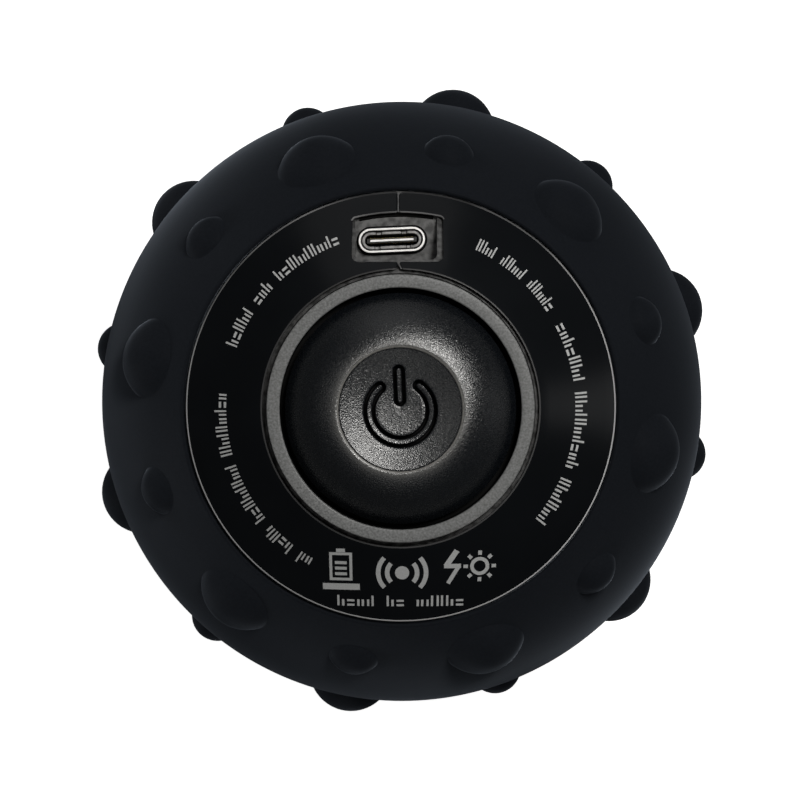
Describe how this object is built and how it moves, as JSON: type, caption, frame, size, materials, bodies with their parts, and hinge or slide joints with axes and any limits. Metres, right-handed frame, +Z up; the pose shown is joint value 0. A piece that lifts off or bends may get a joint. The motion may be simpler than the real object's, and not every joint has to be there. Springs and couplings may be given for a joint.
{
  "type": "massage ball",
  "caption": "Handheld vibrating massage ball: bumpy silicone sleeve over a hard shell, with a domed power button, light ring and USB-C charging socket in a round face.",
  "frame": {"origin": "on the surface that the ball stands on, under its centre", "axes": "+Z up through the power button, +Y towards the charging socket, +X to the right as the button is looked at"},
  "size_m": [0.0932, 0.0954, 0.0938],
  "materials": {
    "silicone": "matte",
    "shell_plastic": "fine texture",
    "panel_gloss": "gloss",
    "diffuser": "frosted",
    "button_plastic": "satin, fine grain",
    "adhesive": "matte",
    "screw_steel": "zinc plated",
    "tinned_steel": "bright",
    "black_plastic": "matte",
    "board_mask": "solder mask",
    "led_white": "satin",
    "chip_epoxy": "matte",
    "ferrite": "matte",
    "ceramic_tan": "satin",
    "can_aluminium": "satin",
    "cell_foil": "satin",
    "amber_tape": "gloss",
    "foam": "matte",
    "connector_white": "satin",
    "wire_red": "satin",
    "wire_black": "satin",
    "motor_steel": "plated",
    "magnet": "sintered",
    "bronze": "sintered",
    "copper": "enamelled",
    "contact_gold": "plated",
    "weight_metal": "machined",
    "cradle_plastic": "fine texture",
    "band_rubber": "matte",
    "white_print": "screen print"
  },
  "bodies": {
    "housing": {"silicone_sleeve": "silicone", "front_shell": "shell_plastic", "rear_shell": "shell_plastic", "shell_screws": "screw_steel", "face_panel": "panel_gloss", "panel_glue": "adhesive", "light_ring": "diffuser", "light_ring_screws": "screw_steel", "switch_base": "black_plastic", "switch_cover": "tinned_steel", "switch_dome": "tinned_steel", "switch_terminals": "tinned_steel", "main_board": "board_mask", "board_screws": "screw_steel", "ring_leds": "led_white", "controller_chip": "chip_epoxy", "charger_chip": "chip_epoxy", "motor_driver": "chip_epoxy", "power_inductor": "ferrite", "flyback_diode": "chip_epoxy", "bulk_capacitor": "can_aluminium", "chip_capacitors": "ceramic_tan", "chip_resistors": "chip_epoxy", "usb_shell": "tinned_steel", "usb_tongue": "black_plastic", "usb_contacts": "contact_gold", "battery_cell": "cell_foil", "battery_guard_board": "board_mask", "battery_tape": "amber_tape", "battery_foam": "foam", "battery_socket": "connector_white", "battery_plug": "connector_white", "battery_lead_red": "wire_red", "battery_lead_black": "wire_black", "motor_can": "motor_steel", "motor_end_bell": "black_plastic", "motor_bushings": "bronze", "motor_magnets": "magnet", "motor_terminals": "contact_gold", "motor_brushes": "copper", "motor_lead_red": "wire_red", "motor_lead_black": "wire_black", "motor_cradle": "cradle_plastic", "cradle_screws": "screw_steel", "motor_bands": "band_rubber", "motor_clamps": "cradle_plastic", "clamp_screws": "screw_steel"},
    "button": {"power_button": "button_plastic"},
    "plunger": {"switch_plunger": "black_plastic"},
    "rotor": {"motor_shaft": "motor_steel", "rotor_core": "motor_steel", "rotor_windings": "copper", "commutator": "copper", "eccentric_weight_left": "weight_metal", "eccentric_weight_right": "weight_metal"}
  },
  "joints": [
    {"name": "button_press", "type": "slide", "parent": "housing", "child": "button", "axis": [0, 0, -1], "range_m": [0, 0.0005], "stiffness_N_per_m": 3200, "springref_m": -0.0001},
    {"name": "switch_stroke", "type": "slide", "parent": "housing", "child": "plunger", "axis": [0, 0, -1], "range_m": [0, 0.0005], "deforming": ["switch_dome"]},
    {"name": "motor_spin", "type": "hinge", "parent": "housing", "child": "rotor", "pos_m": [0, 0, 0.05135], "axis": [1, 0, 0], "continuous": true}
  ],
  "couplings": [
    {"joint": "switch_stroke", "follows": "button_press", "ratio": 1}
  ]
}
